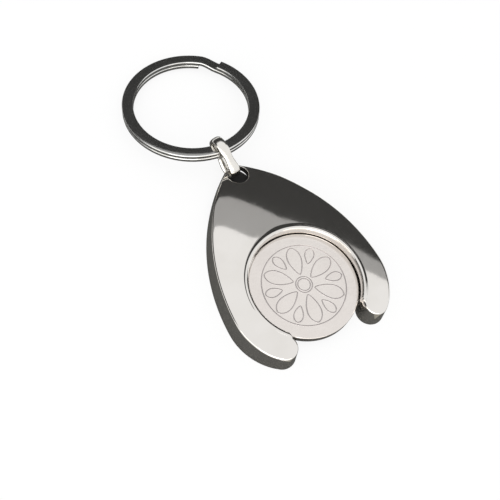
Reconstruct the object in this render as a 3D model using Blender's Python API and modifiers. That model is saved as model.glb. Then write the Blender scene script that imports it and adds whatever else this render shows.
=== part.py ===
"""Coin holder keyring: a die-cast wishbone that holds a round token, a connector link and a split ring.

It lies face up, as on a table: back down, split ring towards +Y, leg tips towards -Y. The origin is
under the middle of the whole keyring, on the surface that it lies on. Lengths are in metres.
"""
from math import asin, atan2, copysign, cos, hypot, pi, radians, sin, sqrt, tan

import bmesh
import bpy
from mathutils import Euler, Vector

# Token
TOKEN_DIAMETER = 0.0210
TOKEN_THICKNESS = 0.0017
TOKEN_EDGE_BEVEL = 0.0002
TOKEN_SIDE_CLEARANCE = 0.0003
TOKEN_SEAT_CLEARANCE = 0.0002

# Wishbone holder, seen from the front
HOLDER_WIDTH = 0.0330
WIDEST_LINE_DROP = 0.00185
EYE_DISTANCE = 0.0260
EYE_DIAMETER = 0.0041
EYE_RIM = 0.00065
LEG_TIP_RADIUS = 0.00275
LEG_TIP_ANGLE = radians(43.6)
THUMB_NOTCH_RADIUS = 0.0200

# Wishbone holder, in section
FLOOR_THICKNESS = 0.00095
FLOOR_LIFT = 0.00015
FLOOR_OVERLAP = 0.0004
LIP_ABOVE_TOKEN = 0.00205
LIP_WIDTH = 0.0008
LIP_STEP = 0.00015
FACE_RADIUS = 0.147
WALL_DRAFT = radians(10.4)
TIP_DRAFT = radians(6)
DRAFT_CHANGE_SPAN = radians(25)
TIP_CORNER_SHARE = 0.35
EYE_PLATE_LIFT = 0.0013
SWEEP_START_BEFORE_EYE = 0.0080
SWEEP_END_BEFORE_EYE = 0.0026
EDGE_ROUND = 0.00035
BACK_EDGE_ROUND = 0.0002
ROUND_SHARE = 0.25

# Magnet, glued in a pocket under the token
MAGNET_DIAMETER = 0.0080
MAGNET_THICKNESS = 0.0005
MAGNET_SIDE_CLEARANCE = 0.0002
MAGNET_GLUE = 0.0001
POCKET_SKIN = 0.0002

# Connector link of flattened wire, waisted between its ends
LINK_END_WIDTH = 0.0021
LINK_WAIST_WIDTH = 0.0017
LINK_WIRE_THICKNESS = 0.00085
LINK_SECTION_POWER = 2.4
LINK_END_RADIUS = 0.0016
LINK_STRAIGHT = 0.0041
LINK_SEAM = 0.0002
LINK_FLOOR_CLEARANCE = 0.0001
LINK_SHIFT = -0.0005
LINK_PULL = 0.0001
LINK_RISE = radians(37)
LINK_LEAN = radians(-8)
LINK_YAW = radians(14)

# Split ring, two turns of flat strip
RING_DIAMETER = 0.0280
STRIP_WIDTH = 0.00225
STRIP_THICKNESS = 0.00082
STRIP_TURN_GAP = 0.00008
STRIP_EDGE_BEVEL = 0.0002
RING_IN_LINK = 0.00383
RING_FLOOR_CLEARANCE = 0.0001
RING_YAW = radians(-0.5)
CROSSOVER_AT = radians(46)
CROSSOVER_SPAN = radians(17)
STRIP_END_GAP = radians(1.5)

CUT_OVERRUN = 0.0010

# How finely round shapes are divided
TOKEN_STEPS = 72
LEG_STEPS = 72
TIP_STEPS = 7
LIP_STEPS = 4
SKIRT_STEPS = 6
BACK_STEPS = 9
EYE_STEPS = 40
LINK_END_STEPS = 10
LINK_STRAIGHT_STEPS = 4
LINK_SECTION_STEPS = 16
RING_STEPS = 36
CROSSOVER_STEPS = 6

# Places worked out from the sizes
RECESS_RADIUS = TOKEN_DIAMETER / 2 + TOKEN_SIDE_CLEARANCE
FLOOR_TOP = FLOOR_LIFT + FLOOR_THICKNESS
TOKEN_BOTTOM = FLOOR_TOP + TOKEN_SEAT_CLEARANCE
TOKEN_TOP = TOKEN_BOTTOM + TOKEN_THICKNESS
LIP_TOP = TOKEN_TOP + LIP_ABOVE_TOKEN
EYE_RADIUS = EYE_DIAMETER / 2
EYE_OUTER_RADIUS = EYE_RADIUS + EYE_RIM
LIP_FOOT = RECESS_RADIUS + LIP_WIDTH
HALF_WIDTH = HOLDER_WIDTH / 2

TIP_DISTANCE = RECESS_RADIUS + LEG_TIP_RADIUS
TIP_X = TIP_DISTANCE * cos(LEG_TIP_ANGLE)
TIP_Y = -TIP_DISTANCE * sin(LEG_TIP_ANGLE)
TIP_HALF_ANGLE = asin(LEG_TIP_RADIUS / TIP_DISTANCE)

LINK_MID_RADIUS = LINK_END_RADIUS + LINK_WIRE_THICKNESS / 2
LINK_OUTER_RADIUS = LINK_END_RADIUS + LINK_WIRE_THICKNESS
LINK_AXIS_HEIGHT = LINK_OUTER_RADIUS + LINK_FLOOR_CLEARANCE
LINK_AXIS = Vector((LINK_SHIFT, EYE_DISTANCE + EYE_RADIUS + EYE_RIM / 2 + LINK_PULL, LINK_AXIS_HEIGHT))
LINK_TURN = Euler((LINK_RISE, LINK_LEAN, LINK_YAW), "YXZ")

RING_THICKNESS = 2 * STRIP_THICKNESS + STRIP_TURN_GAP
RING_MID_RADIUS = (RING_DIAMETER - STRIP_WIDTH) / 2
RING_AXIS = LINK_AXIS + LINK_TURN.to_matrix() @ Vector((0.0, RING_IN_LINK, 0.0))


def ring_tilt():
    """Angle at which the far side of the ring comes down to the table."""
    drop = RING_AXIS.z - RING_FLOOR_CLEARANCE - RING_THICKNESS / 2
    return asin(drop / (RING_DIAMETER - STRIP_WIDTH / 2))


RING_TILT = ring_tilt()
RING_REACH = RING_MID_RADIUS * cos(RING_YAW) + RING_DIAMETER / 2
FAR_END_Y = RING_AXIS.y + RING_REACH * cos(RING_TILT) + RING_THICKNESS / 2 * sin(RING_TILT)
NEAR_END_Y = TIP_Y - LEG_TIP_RADIUS
TOKEN_CENTRE = Vector((0.0, -(FAR_END_Y + NEAR_END_Y) / 2, 0.0))


def clear_scene():
    for item in list(bpy.data.objects):
        bpy.data.objects.remove(item, do_unlink=True)


def new_collection(name):
    collection = bpy.data.collections.new(name)
    bpy.context.scene.collection.children.link(collection)
    return collection


def metal(name, colour, roughness):
    material = bpy.data.materials.new(name)
    material.use_nodes = True
    shader = material.node_tree.nodes["Principled BSDF"]
    shader.inputs["Base Color"].default_value = (*colour, 1.0)
    shader.inputs["Metallic"].default_value = 1.0
    shader.inputs["Roughness"].default_value = roughness
    return material


def mesh_object(name, mesh, collection, material=None):
    item = bpy.data.objects.new(name, mesh)
    if material:
        mesh.materials.append(material)
    collection.objects.link(item)
    return item


def hide_tool(item):
    item.hide_render = True
    item.display_type = "WIRE"
    return item


def cylinder(name, radius, bottom, top, centre, steps, collection, material=None):
    """An upright cylinder from one height to another."""
    mesh = bpy.data.meshes.new(name)
    form = bmesh.new()
    bmesh.ops.create_cone(form, cap_ends=True, segments=steps, radius1=radius, radius2=radius, depth=top - bottom)
    bmesh.ops.translate(form, verts=form.verts, vec=(centre.x, centre.y, (top + bottom) / 2))
    form.to_mesh(mesh)
    form.free()
    return mesh_object(name, mesh, collection, material)


def boolean(item, tool, operation):
    modifier = item.modifiers.new(tool.name, "BOOLEAN")
    modifier.operation = operation
    modifier.solver = "EXACT"
    modifier.object = tool


def smooth_step(share):
    share = min(max(share, 0.0), 1.0)
    return share * share * (3 - 2 * share)


def shoulder_arc():
    """Centre x, centre y and radius of the arc from the widest line up to the eye."""
    rise = EYE_DISTANCE + WIDEST_LINE_DROP
    radius = (HALF_WIDTH**2 + rise**2 - EYE_OUTER_RADIUS**2) / (2 * (HALF_WIDTH - EYE_OUTER_RADIUS))
    return HALF_WIDTH - radius, -WIDEST_LINE_DROP, radius


def calf_arc():
    """Centre x, centre y and radius of the arc from the widest line down to the leg tip."""
    across = HALF_WIDTH - TIP_X
    down = TIP_Y + WIDEST_LINE_DROP
    radius = (across**2 + down**2 - LEG_TIP_RADIUS**2) / (2 * (across - LEG_TIP_RADIUS))
    return HALF_WIDTH - radius, -WIDEST_LINE_DROP, radius


def far_hit(centre_x, centre_y, radius, angle):
    """Distance from the token's centre to the far side of a circle, along a ray."""
    along = centre_x * cos(angle) + centre_y * sin(angle)
    return along + sqrt(max(along**2 - centre_x**2 - centre_y**2 + radius**2, 0.0))


def near_hit(centre_x, centre_y, radius, angle):
    along = centre_x * cos(angle) + centre_y * sin(angle)
    return along - sqrt(max(along**2 - centre_x**2 - centre_y**2 + radius**2, 0.0))


SHOULDER = shoulder_arc()
CALF = calf_arc()


def join_angle(arc, end_x, end_y):
    """Direction, from the token's centre, of the point where an arc meets the round end inside it."""
    reach = hypot(end_x - arc[0], end_y - arc[1])
    join_x = arc[0] + (end_x - arc[0]) * arc[2] / reach
    join_y = arc[1] + (end_y - arc[1]) * arc[2] / reach
    return atan2(join_y, join_x)


EYE_JOIN = join_angle(SHOULDER, 0.0, EYE_DISTANCE)
WIDEST_JOIN = atan2(-WIDEST_LINE_DROP, HALF_WIDTH)
TIP_JOIN = join_angle(CALF, TIP_X, TIP_Y)


def right_side(angle):
    """The same direction mirrored onto the right leg, between straight down and straight up."""
    turned = (angle + pi / 2) % (2 * pi) - pi / 2
    return turned if turned <= pi / 2 else pi - turned


def outer_edge(angle):
    side = right_side(angle)
    if side > EYE_JOIN:
        return far_hit(0.0, EYE_DISTANCE, EYE_OUTER_RADIUS, side)
    if side > WIDEST_JOIN:
        return far_hit(*SHOULDER, side)
    if side > TIP_JOIN:
        return far_hit(*CALF, side)
    return far_hit(TIP_X, TIP_Y, LEG_TIP_RADIUS, side)


def inner_edge(angle):
    side = right_side(angle)
    if side < -LEG_TIP_ANGLE:
        return near_hit(TIP_X, TIP_Y, LEG_TIP_RADIUS, side)
    return RECESS_RADIUS


def front_height(radius):
    """Height of the front face: a raised lip round the token, then part of a large ball that falls away from it."""
    past_recess = radius - RECESS_RADIUS
    if past_recess < LIP_WIDTH:
        off_crest = abs(past_recess - LIP_WIDTH / 2) / (LIP_WIDTH / 2)
        return LIP_TOP - LIP_STEP * off_crest**2
    return LIP_TOP - LIP_STEP + sqrt(FACE_RADIUS**2 - radius**2) - sqrt(FACE_RADIUS**2 - LIP_FOOT**2)


def back_height(radius, angle):
    """Height of the back: flat, swept up near the eye so that the link passes under it."""
    start = EYE_DISTANCE - SWEEP_START_BEFORE_EYE
    end = EYE_DISTANCE - SWEEP_END_BEFORE_EYE
    return EYE_PLATE_LIFT * smooth_step((radius * sin(angle) - start) / (end - start))


def wall_draft(side):
    """Draft of the outer wall, less at the leg tips than round the rest of the outline."""
    share = smooth_step((side + LEG_TIP_ANGLE) / DRAFT_CHANGE_SPAN)
    return TIP_DRAFT + (WALL_DRAFT - TIP_DRAFT) * share


def drawn_in(point, side):
    """A point of a leg's round tip, moved towards the tip's middle as the drafted wall rises."""
    middle = Vector((copysign(TIP_X, point.x), TIP_Y, point.z))
    pull = point.z * tan(TIP_DRAFT) / LEG_TIP_RADIUS
    if hypot(point.x, point.y) < TIP_DISTANCE:
        pull *= smooth_step((-LEG_TIP_ANGLE - side) / (TIP_HALF_ANGLE * TIP_CORNER_SHARE))
    return point + (middle - point) * pull


def rib(angle):
    """The holder's cross-section along one ray from the token's centre."""
    inner = inner_edge(angle)
    outer = outer_edge(angle)
    width = outer - inner
    back_round = min(BACK_EDGE_ROUND, width * ROUND_SHARE)
    front_round = min(EDGE_ROUND, width * ROUND_SHARE)
    side = right_side(angle)
    in_tip = side < -LEG_TIP_ANGLE
    wall = front_height(outer) - back_height(outer, angle)
    crest = outer if in_tip else outer - wall * tan(wall_draft(side))
    lip = min(LIP_WIDTH, width / 2)
    skirt = crest - front_round - inner - lip
    radii = [inner + lip * step / LIP_STEPS for step in range(LIP_STEPS + 1)]
    radii += [radii[-1] + skirt * step / SKIRT_STEPS for step in range(1, SKIRT_STEPS + 1)]
    loop = [(radius, front_height(radius)) for radius in radii]
    rim_height = loop[-1][1]
    for turn in (pi / 6, pi / 3, pi / 2):
        loop.append((crest - front_round * (1 - sin(turn)), rim_height - front_round * (1 - cos(turn))))
    loop.append((outer, back_height(outer, angle) + back_round))
    first = outer - back_round
    last = inner + back_round
    for step in range(BACK_STEPS + 1):
        radius = first + (last - first) * step / BACK_STEPS
        loop.append((radius, back_height(radius, angle)))
    loop.append((inner, back_height(inner, angle) + back_round))
    points = [Vector((radius * cos(angle), radius * sin(angle), height)) for radius, height in loop]
    return [drawn_in(point, side) for point in points] if in_tip else points


def rib_angles():
    """Rays from the right leg's tip, over the eye, to the left leg's tip, closer together in the tips."""
    tip = []
    for step in range(TIP_STEPS):
        turn = (step + 0.5) / TIP_STEPS * pi / 2
        tip.append(-LEG_TIP_ANGLE - TIP_HALF_ANGLE * cos(turn))
    start = -LEG_TIP_ANGLE
    sweep = pi - 2 * start
    middle = [start + sweep * step / LEG_STEPS for step in range(LEG_STEPS + 1)]
    return tip + middle + [pi - angle for angle in reversed(tip)]


def legs_mesh():
    """The horseshoe of the holder, lofted rib by rib between the recess and the outline."""
    form = bmesh.new()
    loops = [[form.verts.new(TOKEN_CENTRE + point) for point in rib(angle)] for angle in rib_angles()]
    count = len(loops[0])
    for near, far in zip(loops, loops[1:]):
        for step in range(count):
            after = (step + 1) % count
            form.faces.new((near[step], near[after], far[after], far[step]))
    form.faces.new(reversed(loops[0]))
    form.faces.new(loops[-1])
    bmesh.ops.recalc_face_normals(form, faces=form.faces)
    mesh = bpy.data.meshes.new("legs")
    form.to_mesh(mesh)
    form.free()
    return mesh


def make_holder(parts, tools, material):
    """Legs and floor in one casting, with the eye, the magnet pocket and the thumb notch cut."""
    holder = mesh_object("wishbone_holder", legs_mesh(), parts, material)

    floor_radius = RECESS_RADIUS + FLOOR_OVERLAP
    floor = cylinder("floor", floor_radius, FLOOR_LIFT, FLOOR_TOP, TOKEN_CENTRE, TOKEN_STEPS, tools)
    notch_x = RECESS_RADIUS * cos(LEG_TIP_ANGLE)
    notch_y = -RECESS_RADIUS * sin(LEG_TIP_ANGLE) - sqrt(THUMB_NOTCH_RADIUS**2 - notch_x**2)
    notch_centre = TOKEN_CENTRE + Vector((0.0, notch_y, 0.0))
    notch = cylinder("thumb_notch", THUMB_NOTCH_RADIUS, -CUT_OVERRUN, FLOOR_TOP + CUT_OVERRUN,
                     notch_centre, TOKEN_STEPS * 2, tools)
    boolean(floor, hide_tool(notch), "DIFFERENCE")
    boolean(holder, hide_tool(floor), "UNION")

    eye_centre = TOKEN_CENTRE + Vector((0.0, EYE_DISTANCE, 0.0))
    eye = cylinder("eye", EYE_RADIUS, -CUT_OVERRUN, LIP_TOP + CUT_OVERRUN, eye_centre, EYE_STEPS, tools)
    boolean(holder, hide_tool(eye), "DIFFERENCE")

    pocket_radius = MAGNET_DIAMETER / 2 + MAGNET_SIDE_CLEARANCE
    pocket = cylinder("magnet_pocket", pocket_radius, FLOOR_LIFT + POCKET_SKIN, FLOOR_TOP + CUT_OVERRUN,
                      TOKEN_CENTRE, EYE_STEPS, tools)
    boolean(holder, hide_tool(pocket), "DIFFERENCE")
    return holder


def make_magnet(parts, material):
    bottom = FLOOR_LIFT + POCKET_SKIN + MAGNET_GLUE
    return cylinder("holding_magnet", MAGNET_DIAMETER / 2, bottom, bottom + MAGNET_THICKNESS,
                    TOKEN_CENTRE, EYE_STEPS, parts, material)


def make_token(parts, material):
    token = cylinder("coin_token", TOKEN_DIAMETER / 2, TOKEN_BOTTOM, TOKEN_TOP,
                     TOKEN_CENTRE, TOKEN_STEPS, parts, material)
    bevel = token.modifiers.new("worn_edge", "BEVEL")
    bevel.width = TOKEN_EDGE_BEVEL
    bevel.segments = 2
    bevel.limit_method = "ANGLE"
    return token


def poly_curve(name, points, collection, closed=False):
    curve = bpy.data.curves.new(name, "CURVE")
    curve.dimensions = "3D"
    spline = curve.splines.new("POLY")
    spline.points.add(len(points) - 1)
    for target, point in zip(spline.points, points):
        target.co = (*point, 1.0)
    spline.use_cyclic_u = closed
    item = bpy.data.objects.new(name, curve)
    collection.objects.link(item)
    return item


def link_stations():
    """Places along the link's wire, from its butt seam round both ends and back, each with its outward side."""
    middle = LINK_STRAIGHT / 2
    run = middle - LINK_SEAM / 2
    outward = Vector((0.0, 0.0, 1.0))
    stations = []
    for step in range(LINK_STRAIGHT_STEPS):
        stations.append((middle + LINK_SEAM / 2 + run * step / LINK_STRAIGHT_STEPS, -outward))
    for step in range(LINK_END_STEPS + 1):
        turn = -pi / 2 + pi * step / LINK_END_STEPS
        stations.append((LINK_STRAIGHT, Vector((0.0, cos(turn), sin(turn)))))
    for step in range(1, LINK_STRAIGHT_STEPS * 2):
        stations.append((LINK_STRAIGHT * (1 - step / (LINK_STRAIGHT_STEPS * 2)), outward))
    for step in range(LINK_END_STEPS + 1):
        turn = pi / 2 + pi * step / LINK_END_STEPS
        stations.append((0.0, Vector((0.0, cos(turn), sin(turn)))))
    for step in range(1, LINK_STRAIGHT_STEPS + 1):
        stations.append((run * step / LINK_STRAIGHT_STEPS, -outward))
    return stations


def link_width(along):
    """Width of the wire, drawn in between its two ends."""
    share = min(max(along / LINK_STRAIGHT, 0.0), 1.0)
    return LINK_END_WIDTH + (LINK_WAIST_WIDTH - LINK_END_WIDTH) * sin(pi * share) ** 2


def soft(value):
    """Pushes a point of the round section out towards a rounded rectangle."""
    return copysign(abs(value) ** (2 / LINK_SECTION_POWER), value)


def link_mesh():
    form = bmesh.new()
    loops = []
    for along, outward in link_stations():
        middle = Vector((0.0, along, 0.0)) + outward * LINK_MID_RADIUS
        half_width = link_width(middle.y) / 2
        loop = []
        for step in range(LINK_SECTION_STEPS):
            turn = 2 * pi * step / LINK_SECTION_STEPS
            across = Vector((half_width * soft(cos(turn)), 0.0, 0.0))
            loop.append(form.verts.new(middle + across + outward * soft(sin(turn)) * LINK_WIRE_THICKNESS / 2))
        loops.append(loop)
    for near, far in zip(loops, loops[1:]):
        for step in range(LINK_SECTION_STEPS):
            after = (step + 1) % LINK_SECTION_STEPS
            form.faces.new((near[step], near[after], far[after], far[step]))
    form.faces.new(reversed(loops[0]))
    form.faces.new(loops[-1])
    bmesh.ops.recalc_face_normals(form, faces=form.faces)
    mesh = bpy.data.meshes.new("connector_link")
    form.to_mesh(mesh)
    form.free()
    return mesh


def make_link(parts, material):
    """A loop of flattened wire: through the eye at one end, round the split ring at the other."""
    link = mesh_object("connector_link", link_mesh(), parts, material)
    link.location = TOKEN_CENTRE + LINK_AXIS
    link.rotation_euler = LINK_TURN
    return link


def strip_path():
    """Middle line of the strip: one flat turn, a short climb at the crossover, a second flat turn."""
    pitch = STRIP_THICKNESS + STRIP_TURN_GAP
    start = CROSSOVER_AT + CROSSOVER_SPAN / 2 + STRIP_END_GAP
    climb_start = CROSSOVER_AT - CROSSOVER_SPAN / 2 + 2 * pi
    climb_end = climb_start + CROSSOVER_SPAN
    end = climb_start + 2 * pi - STRIP_END_GAP
    angles = [start + (climb_start - start) * step / RING_STEPS for step in range(RING_STEPS)]
    angles += [climb_start + CROSSOVER_SPAN * step / CROSSOVER_STEPS for step in range(CROSSOVER_STEPS)]
    angles += [climb_end + (end - climb_end) * step / RING_STEPS for step in range(RING_STEPS + 1)]
    points = []
    for angle in angles:
        height = pitch * (smooth_step((angle - climb_start) / CROSSOVER_SPAN) - 0.5)
        points.append(Vector((RING_MID_RADIUS * cos(angle), RING_MID_RADIUS * (1 + sin(angle)), height)))
    return points


def strip_section(tools):
    """Rectangle of the strip with its corners taken off, as a guide for the sweep."""
    across = STRIP_WIDTH / 2
    up = STRIP_THICKNESS / 2
    cut = STRIP_EDGE_BEVEL
    corners = []
    for side_x, side_y in ((1, 1), (-1, 1), (-1, -1), (1, -1)):
        pair = [Vector((side_x * across, side_y * (up - cut), 0.0)),
                Vector((side_x * (across - cut), side_y * up, 0.0))]
        corners += pair if side_x * side_y > 0 else pair[::-1]
    corners.reverse()
    section = poly_curve("strip_section", corners, tools, closed=True)
    section.data.dimensions = "2D"
    return hide_tool(section)


def make_ring(parts, tools, material):
    """The split ring, with its origin where the link carries it."""
    ring = poly_curve("split_ring", strip_path(), parts)
    ring.data.twist_mode = "Z_UP"
    ring.data.bevel_mode = "OBJECT"
    ring.data.bevel_object = strip_section(tools)
    ring.data.use_fill_caps = True
    ring.data.materials.append(material)
    ring.location = TOKEN_CENTRE + RING_AXIS
    ring.rotation_euler = Euler((-RING_TILT, 0.0, RING_YAW), "ZXY")
    return ring


def shade(parts):
    for item in parts.objects:
        if item.type == "MESH":
            item.data.shade_smooth()
            item.data.set_sharp_from_angle(angle=radians(35))


def main():
    clear_scene()
    parts = new_collection("coin_holder_keyring")
    tools = new_collection("cutters")
    nickel = metal("bright_nickel", (0.72, 0.71, 0.69), 0.08)
    make_holder(parts, tools, nickel)
    make_magnet(parts, metal("plain_magnet", (0.45, 0.45, 0.46), 0.35))
    make_token(parts, metal("satin_nickel", (0.74, 0.72, 0.70), 0.22))
    make_link(parts, metal("link_nickel", (0.74, 0.73, 0.70), 0.12))
    make_ring(parts, tools, metal("ring_nickel", (0.66, 0.66, 0.65), 0.10))
    shade(parts)


main()
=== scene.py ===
"""Coin holder keyring, lying face up on a pale table.

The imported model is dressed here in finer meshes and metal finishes: a domed casting with a low lip round
the recess and a rounded eye, a magnet in the floor, a struck token with a line rosette, a bent wire link
and a ring wound from strip. Lengths are in metres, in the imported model's own frame.
"""
from math import asin, atan2, copysign, cos, hypot, pi, radians, sin, sqrt, tan

import bmesh
import bpy
from mathutils import Euler, Matrix, Vector


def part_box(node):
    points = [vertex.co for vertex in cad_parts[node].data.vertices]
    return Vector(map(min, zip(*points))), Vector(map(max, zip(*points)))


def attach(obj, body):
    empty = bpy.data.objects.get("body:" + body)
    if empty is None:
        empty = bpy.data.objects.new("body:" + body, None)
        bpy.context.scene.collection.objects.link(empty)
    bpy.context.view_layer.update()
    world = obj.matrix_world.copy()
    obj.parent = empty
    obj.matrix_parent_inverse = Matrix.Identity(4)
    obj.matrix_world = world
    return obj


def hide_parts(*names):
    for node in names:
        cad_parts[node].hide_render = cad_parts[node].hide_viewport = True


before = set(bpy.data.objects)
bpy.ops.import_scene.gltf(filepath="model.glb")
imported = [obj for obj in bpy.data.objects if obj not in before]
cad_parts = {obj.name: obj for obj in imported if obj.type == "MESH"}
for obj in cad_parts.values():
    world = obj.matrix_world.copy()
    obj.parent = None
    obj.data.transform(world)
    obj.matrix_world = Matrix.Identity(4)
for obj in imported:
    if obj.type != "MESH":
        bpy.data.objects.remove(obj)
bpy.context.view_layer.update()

# Token, and how far its edge and the recess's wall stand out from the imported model's
TOKEN_DIAMETER = 0.0210
TOKEN_THICKNESS = 0.0017
TOKEN_EDGE_ROUND = 0.0002
TOKEN_SIDE_CLEARANCE = 0.0003
TOKEN_SEAT_CLEARANCE = 0.0002
TOKEN_PLATE_GROWTH = 0.00006
RECESS_PLATE_GROWTH = 0.0001
TOKEN_FACE_ROWS = (0.94, 0.5)

# Rosette on the token; a ring of petals has an inner radius, an outer radius and half a petal's width
ROSETTE_LINE_RADIUS = 0.00011
ROSETTE_LINE_HEIGHT_SHARE = 0.35
ROSETTE_TURN = radians(20)
ROSETTE_PETALS = 6
ROSETTE_PETAL_RINGS = ((0.0021, 0.0077, 0.0013), (0.0044, 0.0077, 0.00085))
ROSETTE_CIRCLE_RADII = (0.0012, 0.0016, 0.0081)
PETAL_POINTEDNESS = 1.35
PETAL_OUTER_SWELL = 0.35

# Holder, seen from the front
HOLDER_WIDTH = 0.0330
WIDEST_LINE_DROP = 0.00185
EYE_DISTANCE = 0.0260
EYE_DIAMETER = 0.0041
EYE_RIM = 0.00065
EYE_ROUND = 0.0002
LEG_TIP_RADIUS = 0.00275
LEG_TIP_ANGLE = radians(43.6)
THUMB_NOTCH_RADIUS = 0.0200

# Holder, in section
FLOOR_THICKNESS = 0.00095
FLOOR_LIFT = 0.00015
FLOOR_OVERLAP = 0.0004
LIP_ABOVE_TOKEN = 0.00205
LIP_WIDTH = 0.0008
LIP_STEP = 0.00015
FACE_RADIUS = 0.147
WALL_DRAFT = radians(10.4)
TIP_DRAFT = radians(6)
DRAFT_CHANGE_SPAN = radians(25)
TIP_CORNER_SHARE = 0.35
EYE_PLATE_LIFT = 0.0013
SWEEP_START_BEFORE_EYE = 0.0080
SWEEP_END_BEFORE_EYE = 0.0026
OUTER_ROUND = 0.00035
RECESS_ROUND = 0.00018
BACK_ROUND = 0.0002

# Magnet
MAGNET_DIAMETER = 0.0080
MAGNET_THICKNESS = 0.0005
MAGNET_SIDE_CLEARANCE = 0.0002
MAGNET_GLUE = 0.0001
MAGNET_EDGE_BEVEL = 0.0001
POCKET_SKIN = 0.0002

# Link
LINK_END_WIDTH = 0.0021
LINK_WAIST_WIDTH = 0.0017
LINK_WIRE_THICKNESS = 0.00085
LINK_SECTION_POWER = 2.4
LINK_END_RADIUS = 0.0016
LINK_STRAIGHT = 0.0041
LINK_SEAM = 0.0002
LINK_FLOOR_CLEARANCE = 0.0001
LINK_SHIFT = -0.0005
LINK_PULL = 0.0001
LINK_CUT_END_SHARE = 0.9
LINK_RISE = radians(37)
LINK_LEAN = radians(-8)
LINK_YAW = radians(14)

# Split ring
RING_DIAMETER = 0.0280
STRIP_WIDTH = 0.00225
STRIP_THICKNESS = 0.00082
STRIP_TURN_GAP = 0.00008
STRIP_EDGE_ROUND = 0.0002
RING_IN_LINK = 0.00383
RING_FLOOR_CLEARANCE = 0.0001
RING_YAW = radians(-0.5)
CROSSOVER_AT = radians(46)
CROSSOVER_SPAN = radians(17)
STRIP_END_GAP = radians(1.5)

# Fineness of the meshes
SHARP_EDGE = radians(38)
CASTING_SHARP_EDGE = radians(34)
EDGE_STEPS = 6
TOKEN_STEPS = 192
LEG_STEPS = 320
TIP_STEPS = 28
SKIRT_STEPS = 26
WALL_STEPS = 4
BACK_STEPS = 14
FLOOR_STEPS = 144
NOTCH_STEPS = 200
MAGNET_STEPS = 96
EYE_STEPS = 96
PETAL_POINTS = 48
CIRCLE_STEPS = 72
LINE_SIDES = 8
LINK_END_STEPS = 28
LINK_STRAIGHT_STEPS = 12
LINK_SECTION_STEPS = 40
STRIP_POINTS = 400
STRIP_EDGE_STEPS = 5
SHADE_STEPS = 180

# Camera, measured from the token's centre on the table
CAMERA_AZIMUTH = radians(-46.2)
CAMERA_ELEVATION = radians(63.3)
CAMERA_ROLL = radians(19.2)
CAMERA_DISTANCE = 0.140
PIXELS_PER_METRE = 5263.0
TOKEN_IN_PICTURE = (300.8, 290.7)
PICTURE_SIDE = 500
SENSOR_WIDTH = 36.0
CLIP_START = 0.001

# Table, and sheets of painted shade laid just above it
TABLE_HALF_SIDE = 3
TABLE_HEIGHT = -0.00002
TABLE_GLOW_SHARE = 0.85
SHADE_MARGIN = 0.0027
SHADE_HEIGHT = -0.00001
PALE_SHADE_MARGIN = 0.0070
PALE_SHADE_HEIGHT = -0.000016
RING_SHADE_MARGIN = 0.0090
RING_SHADE_HEIGHT = -0.000013
EYE_SHADOW_HEIGHT = -0.000005

# Cards round the keyring; an edge has corners of angle from +Y towards +X, in degrees, and height
CARD_RADIUS = 2.5
TABLE_EDGE = ((-75, 0.0), (95, 0.0))
DARK_EDGE = ((-75, 2.6), (24, 2.67), (40, 3.15), (60, 3.1), (72, 2.95), (80, 2.7), (95, 2.5))
GREY_EDGE = ((-75, 3.4), (20, 3.45), (30, 3.9), (60, 3.9), (73, 3.35), (80, 3.1), (84, 2.75))
GLOW_BOTTOM_EDGE = ((-195, 0.75), (-85, 0.75))
GLOW_TOP_EDGE = ((-195, 1.9), (-85, 1.9))
GLOW_STRENGTH = 2.2

# Lamp
LAMP_PLACE = (-0.32, -0.36, 0.24)
LAMP_SIZE = 0.40
LAMP_WATTS = 0.8

# Places worked out from the sizes
TOKEN_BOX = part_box("coin_token")
TOKEN_CENTRE = Vector((0.0, (TOKEN_BOX[0][1] + TOKEN_BOX[1][1]) / 2, 0.0))
RECESS_RADIUS = TOKEN_DIAMETER / 2 + TOKEN_SIDE_CLEARANCE
FLOOR_TOP = FLOOR_LIFT + FLOOR_THICKNESS
TOKEN_BOTTOM = FLOOR_TOP + TOKEN_SEAT_CLEARANCE
TOKEN_TOP = TOKEN_BOTTOM + TOKEN_THICKNESS
LIP_TOP = TOKEN_TOP + LIP_ABOVE_TOKEN
LIP_FOOT = RECESS_RADIUS + LIP_WIDTH
EYE_RADIUS = EYE_DIAMETER / 2
EYE_OUTER_RADIUS = EYE_RADIUS + EYE_RIM
HALF_WIDTH = HOLDER_WIDTH / 2
TIP_DISTANCE = RECESS_RADIUS + LEG_TIP_RADIUS
TIP_X = TIP_DISTANCE * cos(LEG_TIP_ANGLE)
TIP_Y = -TIP_DISTANCE * sin(LEG_TIP_ANGLE)
TIP_HALF_ANGLE = asin(LEG_TIP_RADIUS / TIP_DISTANCE)
LINK_MID_RADIUS = LINK_END_RADIUS + LINK_WIRE_THICKNESS / 2
LINK_AXIS = Vector((LINK_SHIFT, EYE_DISTANCE + EYE_RADIUS + EYE_RIM / 2 + LINK_PULL,
                    LINK_END_RADIUS + LINK_WIRE_THICKNESS + LINK_FLOOR_CLEARANCE))
LINK_TURN = Euler((LINK_RISE, LINK_LEAN, LINK_YAW), "YXZ")
RING_AXIS = LINK_AXIS + LINK_TURN.to_matrix() @ Vector((0.0, RING_IN_LINK, 0.0))
RING_THICKNESS = 2 * STRIP_THICKNESS + STRIP_TURN_GAP
RING_TILT = asin((RING_AXIS.z - RING_FLOOR_CLEARANCE - RING_THICKNESS / 2)
                 / (RING_DIAMETER - STRIP_WIDTH / 2))


# Shape helpers

def smooth_step(share):
    """Rises from 0 to 1 with a soft start and end."""
    share = min(max(share, 0.0), 1.0)
    return share * share * (3 - 2 * share)


def loose_object(name, mesh):
    """A mesh put in the scene at the origin, unturned."""
    piece = bpy.data.objects.new(name, mesh)
    bpy.context.scene.collection.objects.link(piece)
    return piece


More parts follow.
